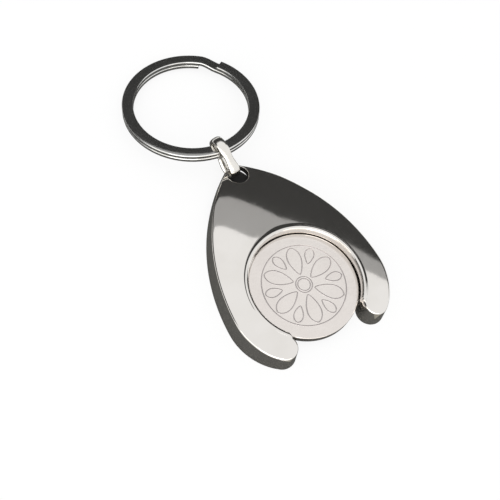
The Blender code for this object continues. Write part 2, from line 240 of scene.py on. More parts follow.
def finish_mesh(name, mesh, material, sharp=SHARP_EDGE):
    """A visible piece: one material, smooth shading, and sharp where two faces meet at more than an angle."""
    mesh.materials.clear()
    mesh.materials.append(material)
    mesh.shade_smooth()
    mesh.set_sharp_from_angle(angle=sharp)
    return loose_object(name, mesh)


def mesh_from_form(name, form):
    """Turns a form's faces outwards and keeps it as a mesh."""
    bmesh.ops.recalc_face_normals(form, faces=form.faces)
    mesh = bpy.data.meshes.new(name)
    form.to_mesh(mesh)
    form.free()
    return mesh


def mesh_from_loops(name, loops, closed_rows=False):
    """Skins a row of equal point loops; open rows get a flat cap at each end."""
    form = bmesh.new()
    rows = [[form.verts.new(point) for point in loop] for loop in loops]
    count = len(rows[0])
    pairs = list(zip(rows, rows[1:]))
    if closed_rows:
        pairs.append((rows[-1], rows[0]))
    for near, far in pairs:
        for step in range(count):
            after = (step + 1) % count
            form.faces.new((near[step], near[after], far[after], far[step]))
    if not closed_rows:
        form.faces.new(reversed(rows[0]))
        form.faces.new(rows[-1])
    return mesh_from_form(name, form)


def turned_mesh(name, profile, steps, centre):
    """A profile of (radius, height) turned round an upright axis; it starts and ends on the axis."""
    form = bmesh.new()
    rows = []
    for radius, height in profile:
        if radius == 0.0:
            rows.append([form.verts.new(centre + Vector((0.0, 0.0, height)))])
            continue
        row = []
        for step in range(steps):
            turn = 2 * pi * step / steps
            row.append(form.verts.new(centre + Vector((radius * cos(turn), radius * sin(turn), height))))
        rows.append(row)
    for near, far in zip(rows, rows[1:]):
        for step in range(steps):
            after = (step + 1) % steps
            corners = (near[step % len(near)], near[after % len(near)],
                       far[after % len(far)], far[step % len(far)])
            unique = list(dict.fromkeys(corners))
            if len(unique) > 2:
                form.faces.new(unique)
    return mesh_from_form(name, form)


def quarter_turn():
    """The angles of a round's steps, from 0 to a quarter turn."""
    return [pi / 2 * step / EDGE_STEPS for step in range(EDGE_STEPS + 1)]


def settled_mesh(piece):
    """The piece's mesh with its modifiers worked in, and the piece itself put away."""
    graph = bpy.context.evaluated_depsgraph_get()
    mesh = bpy.data.meshes.new_from_object(piece.evaluated_get(graph))
    mesh.transform(piece.matrix_world)
    bpy.data.objects.remove(piece, do_unlink=True)
    return mesh


# Metal finishes

CLOUD_SCALE = 160.0
CLOUD_DETAIL = 4.0
CLOUD_RANGE = (0.3, 0.6)
WEAR_SCALE = 900.0
WEAR_DETAIL = 6.0
WEAR_ROUGHNESS = 0.65
WEAR_RANGE = (0.3, 0.75)
WEAR_GLOSS_SHARES = (0.75, 1.5)
RIPPLE_DETAIL = 2.0


def new_material(name):
    """A material, and the shader node that it starts with."""
    material = bpy.data.materials.new(name)
    material.use_nodes = True
    return material, material.node_tree.nodes["Principled BSDF"]


def noise(tree, vector, scale, detail, roughness=0.5):
    """A cloud of values round one half."""
    node = tree.nodes.new("ShaderNodeTexNoise")
    node.inputs["Scale"].default_value = scale
    node.inputs["Detail"].default_value = detail
    node.inputs["Roughness"].default_value = roughness
    tree.links.new(vector, node.inputs["Vector"])
    return node.outputs["Fac"]


def spread(tree, value, given, wanted=(0.0, 1.0)):
    """Stretches the given range of a value to the wanted range."""
    node = tree.nodes.new("ShaderNodeMapRange")
    for label, number in zip(("From Min", "From Max", "To Min", "To Max"), (*given, *wanted)):
        node.inputs[label].default_value = number
    tree.links.new(value, node.inputs["Value"])
    return node.outputs["Result"]


def nickel_plate(name, colour, shade_colour, roughness, ripple, ripple_size, streaks=None):
    """Plated metal, faintly cloudy in colour and gloss, with the polish's fine ripple and any streaks."""
    material, shader = new_material(name)
    tree = material.node_tree
    nodes, links = tree.nodes, tree.links
    shader.inputs["Metallic"].default_value = 1.0

    place = nodes.new("ShaderNodeTexCoord")
    stretch = nodes.new("ShaderNodeMapping")
    links.new(place.outputs["Object"], stretch.inputs["Vector"])
    if streaks:
        stretch.inputs["Scale"].default_value = streaks

    cloud = noise(tree, place.outputs["Object"], CLOUD_SCALE, CLOUD_DETAIL)
    tint = nodes.new("ShaderNodeMix")
    tint.data_type = "RGBA"
    tint.inputs["A"].default_value = (*shade_colour, 1.0)
    tint.inputs["B"].default_value = (*colour, 1.0)
    links.new(spread(tree, cloud, CLOUD_RANGE), tint.inputs["Factor"])
    links.new(tint.outputs["Result"], shader.inputs["Base Color"])

    wear = noise(tree, stretch.outputs["Vector"], WEAR_SCALE, WEAR_DETAIL, WEAR_ROUGHNESS)
    gloss = [roughness * share for share in WEAR_GLOSS_SHARES]
    links.new(spread(tree, wear, WEAR_RANGE, gloss), shader.inputs["Roughness"])

    waves = noise(tree, stretch.outputs["Vector"], 1.0 / ripple_size, RIPPLE_DETAIL)
    bump = nodes.new("ShaderNodeBump")
    bump.inputs["Strength"].default_value = 1.0
    bump.inputs["Distance"].default_value = ripple
    links.new(waves, bump.inputs["Height"])
    links.new(bump.outputs["Normal"], shader.inputs["Normal"])
    return material


# Holder casting

def arc_from_widest_line(end_x, end_y, end_radius):
    """Centre and radius of the outline's arc between the widest line and a round end that it touches."""
    across = HALF_WIDTH - abs(end_x)
    along = end_y + WIDEST_LINE_DROP
    radius = (across**2 + along**2 - end_radius**2) / (2 * (across - end_radius))
    return HALF_WIDTH - radius, -WIDEST_LINE_DROP, radius


SHOULDER = arc_from_widest_line(0.0, EYE_DISTANCE, EYE_OUTER_RADIUS)
CALF = arc_from_widest_line(TIP_X, TIP_Y, LEG_TIP_RADIUS)


def join_angle(arc, end_x, end_y):
    """Angle, seen from the token's centre, at which an arc passes into the round end that it touches."""
    reach = hypot(end_x - arc[0], end_y - arc[1])
    join_x = arc[0] + (end_x - arc[0]) * arc[2] / reach
    join_y = arc[1] + (end_y - arc[1]) * arc[2] / reach
    return atan2(join_y, join_x)


EYE_JOIN = join_angle(SHOULDER, 0.0, EYE_DISTANCE)
WIDEST_JOIN = atan2(-WIDEST_LINE_DROP, HALF_WIDTH)
TIP_JOIN = join_angle(CALF, TIP_X, TIP_Y)
TIP_CIRCLE = (TIP_X, TIP_Y, LEG_TIP_RADIUS)
EYE_CIRCLE = (0.0, EYE_DISTANCE, EYE_OUTER_RADIUS)


def circle_hit(circle, angle, far=True):
    """Distance from the token's centre to a circle, along a ray."""
    along = circle[0] * cos(angle) + circle[1] * sin(angle)
    half_chord = sqrt(max(along**2 - circle[0] ** 2 - circle[1] ** 2 + circle[2] ** 2, 0.0))
    return along + half_chord if far else along - half_chord


def right_side(angle):
    """The angle itself on the right half of the holder, or its mirror image on the left half."""
    turned = (angle + pi / 2) % (2 * pi) - pi / 2
    return turned if turned <= pi / 2 else pi - turned


def outline_arc(side):
    """The arc that the outline follows at an angle: eye, shoulder or calf."""
    if side > EYE_JOIN:
        return EYE_CIRCLE
    return SHOULDER if side > WIDEST_JOIN else CALF


def rib_span(side):
    """Inner and outer edge of the casting at its foot, along a ray."""
    outer = circle_hit(TIP_CIRCLE if side < TIP_JOIN else outline_arc(side), side)
    if side < -LEG_TIP_ANGLE:
        return circle_hit(TIP_CIRCLE, side, far=False), outer
    return RECESS_RADIUS - RECESS_PLATE_GROWTH, outer


def inside_distance(circle, radius, side):
    """How far inside a circle a point on a ray lies."""
    return circle[2] - hypot(radius * cos(side) - circle[0], radius * sin(side) - circle[1])


def rounding(distance, round_radius):
    """How far the edge's round falls below the face, at a distance in from the edge."""
    if distance >= round_radius:
        return 0.0
    short = round_radius - max(distance, 0.0)
    return round_radius - sqrt(round_radius**2 - short**2)


def face_height(radius):
    """Front face: a low lip along the recess, then part of a large ball that falls away from it."""
    past_recess = radius - RECESS_RADIUS
    if past_recess < LIP_WIDTH:
        off_crest = abs(past_recess - LIP_WIDTH / 2) / (LIP_WIDTH / 2)
        return LIP_TOP - LIP_STEP * off_crest**2
    return LIP_TOP - LIP_STEP + sqrt(FACE_RADIUS**2 - radius**2) - sqrt(FACE_RADIUS**2 - LIP_FOOT**2)


def wall_draft(side):
    """Draft of the outer wall, less at the leg tips than round the rest of the outline."""
    share = smooth_step((side + LEG_TIP_ANGLE) / DRAFT_CHANGE_SPAN)
    return TIP_DRAFT + (WALL_DRAFT - TIP_DRAFT) * share


def drawn_in(point, side):
    """A point of a leg's round tip, moved towards the tip's middle as the drafted wall rises."""
    middle = Vector((copysign(TIP_X, point.x), TIP_Y, point.z))
    pull = point.z * tan(TIP_DRAFT) / LEG_TIP_RADIUS
    if hypot(point.x, point.y) < TIP_DISTANCE:
        pull *= smooth_step((-LEG_TIP_ANGLE - side) / (TIP_HALF_ANGLE * TIP_CORNER_SHARE))
    return point + (middle - point) * pull


def back_height(radius, side):
    """The flat back, swept up towards the eye so that the link can pass under it."""
    start = EYE_DISTANCE - SWEEP_START_BEFORE_EYE
    end = EYE_DISTANCE - SWEEP_END_BEFORE_EYE
    return EYE_PLATE_LIFT * smooth_step((radius * sin(side) - start) / (end - start))


# How far in from the recess, and from an outer edge, a rib has its points, and the width it needs for them
LIP_OFFSETS = [0.0, 0.00002, 0.00005, 0.00009, 0.00013, 0.00018, 0.00025, 0.00032, 0.0004, 0.00048, 0.00055,
               0.00062, 0.00068, 0.00073, 0.00077, 0.0008, 0.00083, 0.0009]
ROUND_OFFSETS = [0.00035, 0.00029, 0.00023, 0.00017, 0.00012, 0.00008, 0.00004, 0.00001, 0.0]
FULL_RIB_WIDTH = 0.0034


def casting_rib(angle):
    """The holder's section along one ray from the token's centre: face, outer wall, back, inner wall."""
    side = right_side(angle)
    in_tip = side < -LEG_TIP_ANGLE
    inner, outer = rib_span(side)
    shrink = min(1.0, (outer - inner) / FULL_RIB_WIDTH)
    wall = face_height(outer) - back_height(outer, side)
    crest = outer if in_tip else outer - wall * tan(wall_draft(side))
    radii = [inner + offset * shrink for offset in LIP_OFFSETS]
    skirt_end = crest - ROUND_OFFSETS[0] * shrink
    skirt_start = radii[-1]
    skirt = skirt_end - skirt_start
    radii += [skirt_start + skirt * step / SKIRT_STEPS for step in range(1, SKIRT_STEPS)]
    radii += [crest - offset * shrink for offset in ROUND_OFFSETS]

    def gaps(radius, edge):
        """How far a place is from the inner and the outer edge; a leg's round tip has one edge all round."""
        if in_tip:
            gap = inside_distance(TIP_CIRCLE, radius, side)
            return gap, gap
        return radius - inner, edge - radius

    def face(radius):
        inner_gap, outer_gap = gaps(radius, crest)
        fall = max(rounding(inner_gap, RECESS_ROUND), rounding(outer_gap, OUTER_ROUND))
        return face_height(radius) - fall

    def back(radius):
        return back_height(radius, side) + rounding(min(gaps(radius, outer)), BACK_ROUND)

    loop = [(radius, face(radius)) for radius in radii]
    top = loop[-1][1]
    foot = back(outer)
    for step in range(1, WALL_STEPS):
        share = step / WALL_STEPS
        loop.append((crest + (outer - crest) * share, top + (foot - top) * share))
    back_radii = [outer - offset * shrink / 2 for offset in reversed(ROUND_OFFSETS[::2])]
    back_start = back_radii[-1]
    flat = inner + ROUND_OFFSETS[0] * shrink / 2 - back_start
    back_radii += [back_start + flat * step / BACK_STEPS for step in range(1, BACK_STEPS)]
    back_radii += [inner + offset * shrink / 2 for offset in ROUND_OFFSETS[::2]]
    loop += [(radius, back(radius)) for radius in back_radii]
    foot = loop[-1][1]
    top = loop[0][1]
    loop += [(inner, foot + (top - foot) * step / WALL_STEPS) for step in range(1, WALL_STEPS)]
    points = [Vector((radius * cos(angle), radius * sin(angle), height)) for radius, height in loop]
    if in_tip:
        moved = [drawn_in(point, side) for point in points]
        for number in range(len(radii)):
            radius = hypot(moved[number].x, moved[number].y)
            moved[number].z += face_height(radius) - face_height(radii[number])
        points = moved
    return [TOKEN_CENTRE + point for point in points]


def casting_angles():
    """Angles of the ribs from the right leg's tip over the eye to the left one's, closer at the tips."""
    tip = []
    for step in range(TIP_STEPS):
        turn = (step + 0.5) / TIP_STEPS * pi / 2
        tip.append(-LEG_TIP_ANGLE - TIP_HALF_ANGLE * cos(turn))
    sweep = pi + 2 * LEG_TIP_ANGLE
    middle = [-LEG_TIP_ANGLE + sweep * step / LEG_STEPS for step in range(LEG_STEPS + 1)]
    return tip + middle + [pi - angle for angle in reversed(tip)]


def cut(piece, tool, operation):
    """Cuts a tool from a piece, or joins it on."""
    modifier = piece.modifiers.new(tool.name, "BOOLEAN")
    modifier.operation = operation
    modifier.solver = "EXACT"
    modifier.object = tool


TOOL_OVERRUN = 0.001


def drum(name, radius, bottom, top, centre, steps):
    """An upright cylinder."""
    profile = [(0.0, bottom), (radius, bottom), (radius, top), (0.0, top)]
    return loose_object(name, turned_mesh(name, profile, steps, centre))


def eye_cutter():
    """The eye's hole, opening out in a round at the swept-up back and at the sloping front face."""
    wide = EYE_RADIUS + EYE_ROUND
    front = face_height(EYE_DISTANCE)
    middle = (EYE_PLATE_LIFT + front) / 2
    profile = [(0.0, -TOOL_OVERRUN), (wide, -TOOL_OVERRUN)]
    for turn in quarter_turn():
        profile.append((wide - EYE_ROUND * sin(turn), EYE_PLATE_LIFT + EYE_ROUND * (1 - cos(turn))))
    for turn in quarter_turn():
        profile.append((wide - EYE_ROUND * cos(turn), front - EYE_ROUND * (1 - sin(turn))))
    profile += [(wide, LIP_TOP), (0.0, LIP_TOP)]
    mesh = turned_mesh("eye_tool", profile, EYE_STEPS, Vector((0.0, 0.0, 0.0)))
    slope = EYE_DISTANCE / FACE_RADIUS
    for corner in mesh.vertices:
        if corner.co.z > middle:
            corner.co.z -= corner.co.y * slope
    mesh.transform(Matrix.Translation(TOKEN_CENTRE + Vector((0.0, EYE_DISTANCE, 0.0))))
    return loose_object("eye_tool", mesh)


def make_holder(plate):
    """The casting skinned over its ribs, with the floor joined on and the magnet's pocket and the eye cut."""
    loops = [casting_rib(angle) for angle in casting_angles()]
    holder = loose_object("holder_blank", mesh_from_loops("holder_blank", loops))
    floor_radius = RECESS_RADIUS + FLOOR_OVERLAP
    floor = drum("floor_blank", floor_radius, FLOOR_LIFT, FLOOR_TOP, TOKEN_CENTRE, FLOOR_STEPS)
    notch_x = RECESS_RADIUS * cos(LEG_TIP_ANGLE)
    notch_y = -RECESS_RADIUS * sin(LEG_TIP_ANGLE) - sqrt(THUMB_NOTCH_RADIUS**2 - notch_x**2)
    notch_centre = TOKEN_CENTRE + Vector((0.0, notch_y, 0.0))
    tool_top = FLOOR_TOP + TOOL_OVERRUN
    notch = drum("notch_tool", THUMB_NOTCH_RADIUS, -TOOL_OVERRUN, tool_top, notch_centre, NOTCH_STEPS)
    pocket_radius = MAGNET_DIAMETER / 2 + MAGNET_SIDE_CLEARANCE
    pocket_bottom = FLOOR_LIFT + POCKET_SKIN
    pocket = drum("pocket_tool", pocket_radius, pocket_bottom, tool_top, TOKEN_CENTRE, MAGNET_STEPS)
    eye = eye_cutter()
    cut(floor, notch, "DIFFERENCE")
    cut(holder, floor, "UNION")
    cut(holder, pocket, "DIFFERENCE")
    cut(holder, eye, "DIFFERENCE")
    mesh = settled_mesh(holder)
    for tool in (floor, notch, pocket, eye):
        bpy.data.objects.remove(tool, do_unlink=True)
    piece = finish_mesh("holder_casting", mesh, plate, CASTING_SHARP_EDGE)
    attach(piece, "holder")
    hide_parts("wishbone_holder")


def make_magnet(plate):
    """A disc with bevelled edges, glued in the floor under the token."""
    bottom = FLOOR_LIFT + POCKET_SKIN + MAGNET_GLUE
    top = bottom + MAGNET_THICKNESS
    radius = MAGNET_DIAMETER / 2
    edge = MAGNET_EDGE_BEVEL
    profile = [(0.0, bottom), (radius - edge, bottom), (radius, bottom + edge), (radius, top - edge),
               (radius - edge / 3, top - edge / 3), (radius - edge, top), (0.0, top)]
    piece = finish_mesh("magnet_disc", turned_mesh("magnet_disc", profile, MAGNET_STEPS, TOKEN_CENTRE), plate)
    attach(piece, "holder")
    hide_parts("holding_magnet")


# Token with its rosette

def make_token(plate):
    """A plain disc with rounded edges, seated on the floor."""
    radius = TOKEN_DIAMETER / 2 + TOKEN_PLATE_GROWTH
    edge = TOKEN_EDGE_ROUND
    profile = [(0.0, TOKEN_BOTTOM)]
    for turn in quarter_turn():
        profile.append((radius - edge * (1 - sin(turn)), TOKEN_BOTTOM + edge * (1 - cos(turn))))
    for turn in quarter_turn():
        profile.append((radius - edge * (1 - cos(turn)), TOKEN_TOP - edge * (1 - sin(turn))))
    profile += [(radius * share, TOKEN_TOP) for share in TOKEN_FACE_ROWS]
    profile.append((0.0, TOKEN_TOP))
    piece = finish_mesh("token_disc", turned_mesh("token_disc", profile, TOKEN_STEPS, TOKEN_CENTRE), plate)
    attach(piece, "token")
    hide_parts("coin_token")


def new_tree(name, inputs):
    """An empty tree with named inputs, one geometry output, and the nodes for both."""
    tree = bpy.data.node_groups.new(name, "GeometryNodeTree")
    tree.interface.new_socket(name="Geometry", in_out="OUTPUT", socket_type="NodeSocketGeometry")
    for label, kind in inputs:
        tree.interface.new_socket(name=label, in_out="INPUT", socket_type=kind)
    return tree, tree.nodes.new("NodeGroupInput"), tree.nodes.new("NodeGroupOutput")


def grow(name, tree, values):
    """Runs a tree on an empty mesh and returns the plain mesh that it makes."""
    carrier = loose_object(name, bpy.data.meshes.new(name))
    modifier = carrier.modifiers.new(name, "NODES")
    modifier.node_group = tree
    for socket in tree.interface.items_tree:
        if socket.in_out == "INPUT" and socket.name in values:
            modifier[socket.identifier] = values[socket.name]
    graph = bpy.context.evaluated_depsgraph_get()
    mesh = bpy.data.meshes.new_from_object(carrier.evaluated_get(graph))
    carrier.modifiers.remove(modifier)
    bpy.data.objects.remove(carrier, do_unlink=True)
    return mesh


def finish_tree(tree, given, result, geometry):
    """Ends a tree: its geometry made real and given its metal."""
    real = tree.nodes.new("GeometryNodeRealizeInstances")
    tree.links.new(geometry, real.inputs["Geometry"])
    coat = tree.nodes.new("GeometryNodeSetMaterial")
    tree.links.new(real.outputs["Geometry"], coat.inputs["Geometry"])
    tree.links.new(given.outputs["Metal"], coat.inputs["Material"])
    tree.links.new(coat.outputs["Geometry"], result.inputs["Geometry"])
    return tree


def maths(tree, operation, first, second=None):
    """One sum in a tree, of sockets or plain numbers."""
    node = tree.nodes.new("ShaderNodeMath")
    node.operation = operation
    for slot, value in enumerate((first, second)):
        if value is None:
            continue
        if isinstance(value, (int, float)):
            node.inputs[slot].default_value = value
        else:
            tree.links.new(value, node.inputs[slot])
    return node.outputs[0]


def rosette_tree():
    """Outlined petals round the middle, each a closed line swept with a thin round section."""
    tree, given, result = new_tree("token_rosette", [
        ("Petals", "NodeSocketInt"), ("Inner Radius", "NodeSocketFloat"),
        ("Outer Radius", "NodeSocketFloat"), ("Petal Half Width", "NodeSocketFloat"),
        ("Line Radius", "NodeSocketFloat"), ("Metal", "NodeSocketMaterial")])
    link = tree.links.new
    outline = tree.nodes.new("GeometryNodeCurvePrimitiveCircle")
    outline.inputs["Resolution"].default_value = PETAL_POINTS
    outline.inputs["Radius"].default_value = 1.0

    span = maths(tree, "SUBTRACT", given.outputs["Outer Radius"], given.outputs["Inner Radius"])
    half_span = maths(tree, "MULTIPLY", span, 0.5)
    middle = maths(tree, "ADD", given.outputs["Inner Radius"], half_span)
    factor = tree.nodes.new("GeometryNodeSplineParameter")
    turn = maths(tree, "MULTIPLY", factor.outputs["Factor"], 2 * pi)
    along = maths(tree, "COSINE", turn)
    across = maths(tree, "SINE", turn)
    bulge = maths(tree, "POWER", maths(tree, "ABSOLUTE", across), PETAL_POINTEDNESS)
    signed = maths(tree, "MULTIPLY", bulge, maths(tree, "SIGN", across))
    swell = maths(tree, "ADD", 1.0, maths(tree, "MULTIPLY", along, PETAL_OUTER_SWELL))
    swollen = maths(tree, "MULTIPLY", signed, swell)
    petal_y = maths(tree, "MULTIPLY", swollen, given.outputs["Petal Half Width"])
    petal_x = maths(tree, "ADD", middle, maths(tree, "MULTIPLY", along, half_span))
    spot = tree.nodes.new("ShaderNodeCombineXYZ")
    link(petal_x, spot.inputs["X"])
    link(petal_y, spot.inputs["Y"])
    shape = tree.nodes.new("GeometryNodeSetPosition")
    link(outline.outputs["Curve"], shape.inputs["Geometry"])
    link(spot.outputs["Vector"], shape.inputs["Position"])

    section = tree.nodes.new("GeometryNodeCurvePrimitiveCircle")
    section.inputs["Resolution"].default_value = LINE_SIDES
    link(given.outputs["Line Radius"], section.inputs["Radius"])
    upright = tree.nodes.new("GeometryNodeSetCurveNormal")
    upright.mode = "Z_UP"
    link(shape.outputs["Geometry"], upright.inputs["Curve"])
    sweep = tree.nodes.new("GeometryNodeCurveToMesh")
    link(upright.outputs["Curve"], sweep.inputs["Curve"])
    link(section.outputs["Curve"], sweep.inputs["Profile Curve"])

    points = tree.nodes.new("GeometryNodePoints")
    link(given.outputs["Petals"], points.inputs["Count"])
    place = tree.nodes.new("GeometryNodeInstanceOnPoints")
    link(points.outputs[0], place.inputs["Points"])
    link(sweep.outputs["Mesh"], place.inputs["Instance"])
    index = tree.nodes.new("GeometryNodeInputIndex")
    share = maths(tree, "DIVIDE", index.outputs["Index"], given.outputs["Petals"])
    spin = tree.nodes.new("ShaderNodeCombineXYZ")
    link(maths(tree, "MULTIPLY", share, 2 * pi), spin.inputs["Z"])
    turn_to = tree.nodes.new("FunctionNodeEulerToRotation")
    link(spin.outputs["Vector"], turn_to.inputs["Euler"])
    link(turn_to.outputs["Rotation"], place.inputs["Rotation"])
    return finish_tree(tree, given, result, place.outputs["Instances"])


def make_rosette(metal):
    """The token's struck lines: two rings of outlined petals, the second between the first, and circles."""
    tree = rosette_tree()
    form = bmesh.new()
    for number, (inner, outer, width) in enumerate(ROSETTE_PETAL_RINGS):
        mesh = grow("rosette_ring_%d" % number, tree, {
            "Petals": ROSETTE_PETALS, "Inner Radius": inner, "Outer Radius": outer, "Petal Half Width": width,
            "Line Radius": ROSETTE_LINE_RADIUS, "Metal": metal})
        mesh.transform(Matrix.Rotation(number * pi / ROSETTE_PETALS, 4, "Z"))
        form.from_mesh(mesh)
    for radius in ROSETTE_CIRCLE_RADII:
        form.from_mesh(rosette_circle(radius, ROSETTE_LINE_RADIUS))
    mesh = bpy.data.meshes.new("token_rosette")
    form.to_mesh(mesh)
    form.free()
    flatten = Matrix.Diagonal((1.0, 1.0, ROSETTE_LINE_HEIGHT_SHARE, 1.0))
    on_token = Matrix.Translation(TOKEN_CENTRE + Vector((0.0, 0.0, TOKEN_TOP)))
    mesh.transform(on_token @ Matrix.Rotation(ROSETTE_TURN, 4, "Z") @ flatten)
    piece = finish_mesh("token_rosette", mesh, metal)
    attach(piece, "token")


def rosette_circle(radius, line):
    """A plain struck circle, with the same round section as the petals' lines."""
    loops = []
    for step in range(CIRCLE_STEPS):
        turn = 2 * pi * step / CIRCLE_STEPS
        out = Vector((cos(turn), sin(turn), 0.0))
        loop = []
        for corner in range(LINE_SIDES):
            bend = 2 * pi * corner / LINE_SIDES
            loop.append(out * (radius + line * cos(bend)) + Vector((0.0, 0.0, line * sin(bend))))
        loops.append(loop)
    return mesh_from_loops("rosette_circle", loops, closed_rows=True)


# Link

def link_stations():
    """Places along the wire, from one side of the seam to the other, with the way out of the loop there."""
    middle = LINK_STRAIGHT / 2
    run = middle - LINK_SEAM / 2
    outward = Vector((0.0, 0.0, 1.0))
    stations = []
    for step in range(LINK_STRAIGHT_STEPS):
        stations.append((middle + LINK_SEAM / 2 + run * step / LINK_STRAIGHT_STEPS, -outward))
    for step in range(LINK_END_STEPS + 1):
        turn = -pi / 2 + pi * step / LINK_END_STEPS
        stations.append((LINK_STRAIGHT, Vector((0.0, cos(turn), sin(turn)))))
    for step in range(1, LINK_STRAIGHT_STEPS * 2):
        stations.append((LINK_STRAIGHT * (1 - step / (LINK_STRAIGHT_STEPS * 2)), outward))
    for step in range(LINK_END_STEPS + 1):
        turn = pi / 2 + pi * step / LINK_END_STEPS
        stations.append((0.0, Vector((0.0, cos(turn), sin(turn)))))
    for step in range(1, LINK_STRAIGHT_STEPS + 1):
        stations.append((run * step / LINK_STRAIGHT_STEPS, -outward))
    return stations


def link_width(along):
    """Width of the wire, drawn in between its two ends."""
    share = min(max(along / LINK_STRAIGHT, 0.0), 1.0)
    return LINK_END_WIDTH + (LINK_WAIST_WIDTH - LINK_END_WIDTH) * sin(pi * share) ** 2


def soft(value):
    """A cosine or sine, changed so that the wire's section fills out from a circle towards a square."""
    return copysign(abs(value) ** (2 / LINK_SECTION_POWER), value)


def make_link(plate):
    """Flattened wire bent to a long loop, with its two cut ends a little smaller at the seam."""
    loops = []
    stations = link_stations()
    for number, (along, outward) in enumerate(stations):
        middle = Vector((0.0, along, 0.0)) + outward * LINK_MID_RADIUS
        half_width = link_width(middle.y) / 2
        end_share = LINK_CUT_END_SHARE if number in (0, len(stations) - 1) else 1.0
        loop = []
        for step in range(LINK_SECTION_STEPS):
            turn = 2 * pi * step / LINK_SECTION_STEPS
            across = Vector((half_width * soft(cos(turn)) * end_share, 0.0, 0.0))
            loop.append(middle + across + outward * soft(sin(turn)) * end_share * LINK_WIRE_THICKNESS / 2)
        loops.append(loop)
    mesh = mesh_from_loops("wire_link", loops)
    mesh.transform(Matrix.Translation(TOKEN_CENTRE + LINK_AXIS) @ LINK_TURN.to_matrix().to_4x4())
    piece = finish_mesh("wire_link", mesh, plate)
    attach(piece, "link")
    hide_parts("connector_link")


# Split ring

def winding_tree():
    """Flat strip wound in two turns that pass each other at a short crossover."""
    tree, given, result = new_tree("ring_winding", [
        ("Mid Radius", "NodeSocketFloat"), ("Strip Width", "NodeSocketFloat"),
        ("Strip Thickness", "NodeSocketFloat"), ("Edge Round", "NodeSocketFloat"),
        ("Pitch", "NodeSocketFloat"), ("Start Angle", "NodeSocketFloat"), ("Climb Start", "NodeSocketFloat"),
        ("Climb End", "NodeSocketFloat"), ("End Angle", "NodeSocketFloat"), ("Points", "NodeSocketInt"),
        ("Metal", "NodeSocketMaterial")])
    link = tree.links.new
    line = tree.nodes.new("GeometryNodeCurvePrimitiveLine")
    spaced = tree.nodes.new("GeometryNodeResampleCurve")
    link(line.outputs["Curve"], spaced.inputs["Curve"])
    link(given.outputs["Points"], spaced.inputs["Count"])
    factor = tree.nodes.new("GeometryNodeSplineParameter")
    sweep_angle = maths(tree, "SUBTRACT", given.outputs["End Angle"], given.outputs["Start Angle"])
    turned = maths(tree, "MULTIPLY", sweep_angle, factor.outputs["Factor"])
    angle = maths(tree, "ADD", given.outputs["Start Angle"], turned)
    climb = tree.nodes.new("ShaderNodeMapRange")
    climb.interpolation_type = "SMOOTHSTEP"
    link(angle, climb.inputs["Value"])
    link(given.outputs["Climb Start"], climb.inputs["From Min"])
    link(given.outputs["Climb End"], climb.inputs["From Max"])
    half_pitch = maths(tree, "MULTIPLY", given.outputs["Pitch"], 0.5)
    link(maths(tree, "MULTIPLY", half_pitch, -1.0), climb.inputs["To Min"])
    link(half_pitch, climb.inputs["To Max"])
    spot = tree.nodes.new("ShaderNodeCombineXYZ")
    mid_radius = given.outputs["Mid Radius"]
    link(maths(tree, "MULTIPLY", mid_radius, maths(tree, "COSINE", angle)), spot.inputs["X"])
    out = maths(tree, "MULTIPLY", mid_radius, maths(tree, "SINE", angle))
    link(maths(tree, "ADD", out, mid_radius), spot.inputs["Y"])
    link(climb.outputs["Result"], spot.inputs["Z"])
    wound = tree.nodes.new("GeometryNodeSetPosition")
    link(spaced.outputs["Curve"], wound.inputs["Geometry"])
    link(spot.outputs["Vector"], wound.inputs["Position"])
    upright = tree.nodes.new("GeometryNodeSetCurveNormal")
    upright.mode = "Z_UP"
    link(wound.outputs["Geometry"], upright.inputs["Curve"])

    strip = tree.nodes.new("GeometryNodeCurvePrimitiveQuadrilateral")
    link(given.outputs["Strip Width"], strip.inputs["Width"])
    link(given.outputs["Strip Thickness"], strip.inputs["Height"])
    soften = tree.nodes.new("GeometryNodeFilletCurve")
    soften.mode = "POLY"
    soften.inputs["Count"].default_value = STRIP_EDGE_STEPS
    link(strip.outputs["Curve"], soften.inputs["Curve"])
    link(given.outputs["Edge Round"], soften.inputs["Radius"])
    sweep = tree.nodes.new("GeometryNodeCurveToMesh")
    sweep.inputs["Fill Caps"].default_value = True
    link(upright.outputs["Curve"], sweep.inputs["Curve"])
    link(soften.outputs["Curve"], sweep.inputs["Profile Curve"])
    return finish_tree(tree, given, result, sweep.outputs["Mesh"])


def make_ring(plate):
    """The wound strip, hung in the link at its near side and resting on the table at its far side."""
    climb_start = CROSSOVER_AT - CROSSOVER_SPAN / 2 + 2 * pi
    climb_end = climb_start + CROSSOVER_SPAN
    mesh = grow("strip_ring", winding_tree(), {
        "Mid Radius": (RING_DIAMETER - STRIP_WIDTH) / 2, "Strip Width": STRIP_WIDTH,
        "Strip Thickness": STRIP_THICKNESS, "Edge Round": STRIP_EDGE_ROUND,
        "Pitch": STRIP_THICKNESS + STRIP_TURN_GAP, "Start Angle": climb_end - 2 * pi + STRIP_END_GAP,
        "Climb Start": climb_start, "Climb End": climb_end,
        "End Angle": climb_start + 2 * pi - STRIP_END_GAP, "Points": STRIP_POINTS, "Metal": plate})
    turn = Euler((-RING_TILT, 0.0, RING_YAW), "ZXY").to_matrix().to_4x4()
    mesh.transform(Matrix.Translation(TOKEN_CENTRE + RING_AXIS) @ turn)
    form = bmesh.new()
    form.from_mesh(mesh)
    bmesh.ops.recalc_face_normals(form, faces=form.faces)
    form.to_mesh(mesh)
    form.free()
    piece = finish_mesh("strip_ring", mesh, plate)
    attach(piece, "ring")
    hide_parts("split_ring")


# Table, surround and light

WHITE = (1.0, 1.0, 1.0, 1.0)
MATT = 0.9


def plain_shade(name, colour):
    """A matt card, or a matt sheet of painted shade."""
    material, shader = new_material(name)
    shader.inputs["Base Color"].default_value = (*colour, 1.0)
    shader.inputs["Roughness"].default_value = MATT
    return material


